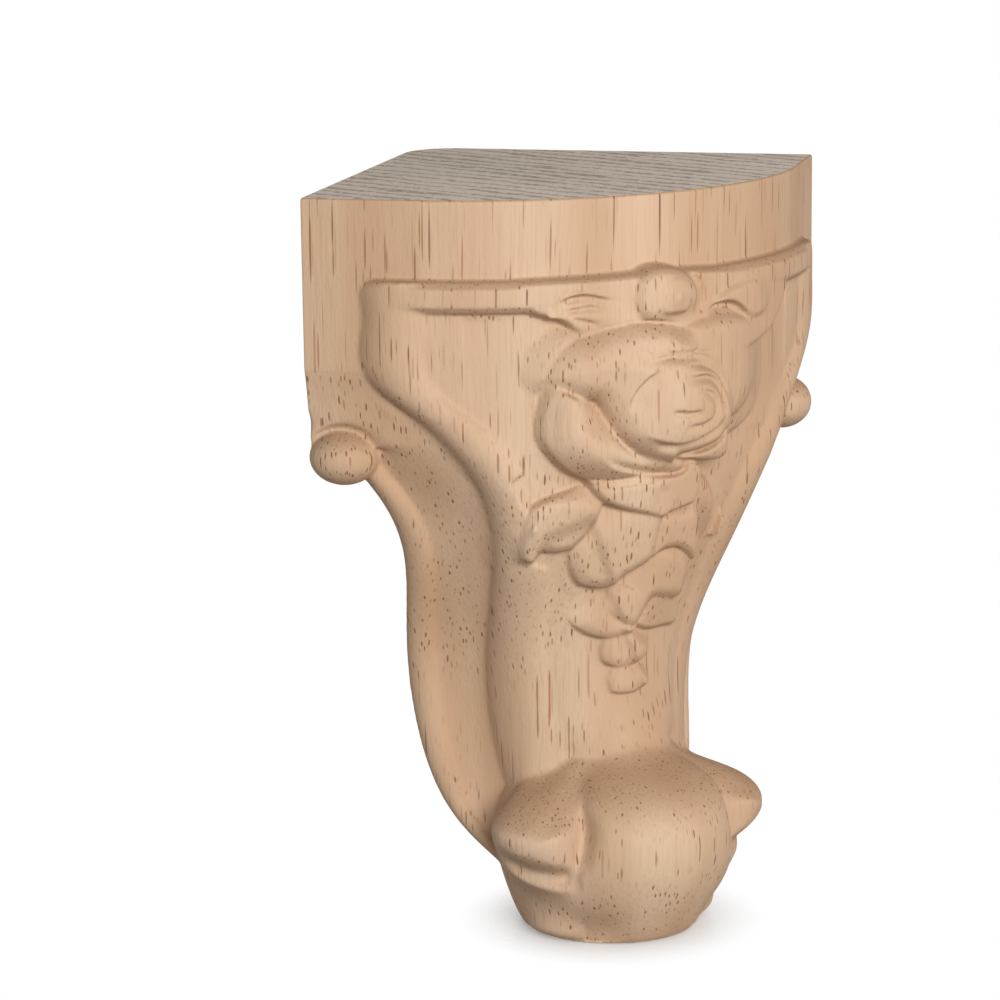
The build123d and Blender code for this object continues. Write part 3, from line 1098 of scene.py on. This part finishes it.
    def _sand(self, leg: bpy.types.Object) -> None:
        """Sand ledges and rims until they flow.

        Args:
            leg: The carved leg.
        """
        share = self.sanding.share(*(read_places(leg).T / MM))
        group = leg.vertex_groups.new(name="sanded")
        for index in np.nonzero(share > self.sanding.least)[0].tolist():
            group.add([index], float(share[index]), "REPLACE")
        settings = {"factor": self.sanding.factor, "iterations": self.sanding.rounds}
        apply_modifier(leg, "SMOOTH", vertex_group=group.name, **settings)
        leg.vertex_groups.clear()

    def _thin(self, leg: bpy.types.Object) -> None:
        """Bring the leg under its number of triangles and shade it smooth.

        Args:
            leg: The carved leg.
        """
        triangles = 2 * len(leg.data.polygons)
        apply_modifier(leg, "DECIMATE", ratio=min(1.0, self.most_triangles / triangles))
        bpy.ops.object.shade_smooth()


@dataclass(frozen=True)
class Lamp:
    """A soft square lamp that looks at the leg, in metres and watts."""

    name: str
    place: Triple
    size: float
    power: float
    aim: Triple = (0.0, 0.0, 0.08)

    def hang(self) -> None:
        """Put the lamp in the scene."""
        data = bpy.data.lights.new(self.name, "AREA")
        data.size = self.size
        data.energy = self.power
        lamp = bpy.data.objects.new(self.name, data)
        place = Vector(self.place)
        lamp.location = place
        lamp.rotation_euler = (Vector(self.aim) - place).to_track_quat("-Z", "Y").to_euler()
        bpy.context.scene.collection.objects.link(lamp)


@dataclass
class Studio:
    """Pale floor, soft light and the camera, in metres."""

    eye: Triple = (-307.725 * MM, -478.262 * MM, 190.790 * MM)
    right: Triple = (0.84964, -0.52728, -0.00941)
    up: Triple = (0.12275, 0.18038, 0.97591)
    back: Triple = (-0.51287, -0.83033, 0.21798)
    lens: float = 131.44
    sensor: float = 36.0
    shift: tuple[float, float] = (-0.0438, 0.0344)
    nearest: float = 0.01
    ambient: float = 0.36
    white: Colour = (1.0, 1.0, 1.0, 1.0)
    lamps: tuple[Lamp, ...] = (
        Lamp("key", (-0.13, -0.50, 0.24), 0.30, 2.5),
        Lamp("fill", (0.48, -0.38, 0.10), 0.40, 0.5),
    )
    floor_radius: float = 0.5
    floor_level: float = -0.0002
    floor_colour: Colour = (0.9, 0.9, 0.9, 1.0)
    floor_roughness: float = 0.35
    floor_fade: tuple[float, float] = (0.008, 0.026)

    def build(self) -> None:
        """Set the whole stage."""
        self._camera()
        self._world()
        self._floor()
        for lamp in self.lamps:
            lamp.hang()
        bpy.context.scene.view_settings.view_transform = "Standard"

    def _camera(self) -> None:
        """Put the camera at the photograph's viewing angle."""
        data = bpy.data.cameras.new("camera")
        data.lens = self.lens
        data.sensor_width = self.sensor
        data.shift_x, data.shift_y = self.shift
        data.clip_start = self.nearest
        camera = bpy.data.objects.new("camera", data)
        turn = Matrix((self.right, self.up, self.back)).transposed().to_4x4()
        camera.matrix_world = Matrix.Translation(self.eye) @ turn
        bpy.context.scene.collection.objects.link(camera)
        bpy.context.scene.camera = camera

    def _world(self) -> None:
        """Soft light from all round, white where the camera looks, straight or by a mirror or glass."""
        r = Recipe(bpy.data.worlds.new("studio"))
        camera = r.node("ShaderNodeLightPath", {}, {}, "Is Camera Ray")
        seen = camera | camera.beside("Is Glossy Ray") | camera.beside("Is Transmission Ray")
        soft = r.node("ShaderNodeBackground", {}, {"Strength": self.ambient})
        white = r.node("ShaderNodeBackground", {}, {"Color": self.white})
        both = r.node("ShaderNodeMixShader", {}, {0: seen, 1: soft, 2: white})
        r.finish(both, "ShaderNodeOutputWorld")
        bpy.context.scene.world = r.owner

    def _floor(self) -> None:
        """Lay a white floor that fades into the backdrop."""
        bpy.ops.object.select_all(action="DESELECT")
        bpy.ops.mesh.primitive_circle_add(
            vertices=96, radius=self.floor_radius, fill_type="NGON", location=(0, 0, self.floor_level))
        floor = bpy.context.object
        floor.name = "floor"
        floor.data.materials.append(self._floor_material())

    def _floor_material(self) -> bpy.types.Material:
        """White floor that is clear away from the leg.

        Returns:
            The material.
        """
        r = Recipe(bpy.data.materials.new("white_floor"))
        place = r.node("ShaderNodeTexCoord", {}, {}, "Object")
        away = r.node("ShaderNodeVectorMath", {"operation": "LENGTH"}, {0: place}, "Value")
        look = {"Base Color": self.floor_colour, "Roughness": self.floor_roughness}
        matt = r.node("ShaderNodeBsdfPrincipled", {}, look)
        clear = r.node("ShaderNodeBsdfTransparent", {}, {})
        r.finish(r.node("ShaderNodeMixShader", {}, {0: away.step(*self.floor_fade), 1: matt, 2: clear}))
        return r.owner


def main() -> None:
    """Build the leg and its stage, and report them."""
    logging.basicConfig(level=logging.INFO, format="%(name)s: %(message)s")
    leg = CarvedLeg().build()
    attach(leg, "root")
    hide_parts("leg")
    LOG.info("carved leg: %d faces", len(leg.data.polygons))
    Studio().build()
    LOG.info("stage set")


if __name__ == "__main__":
    main()
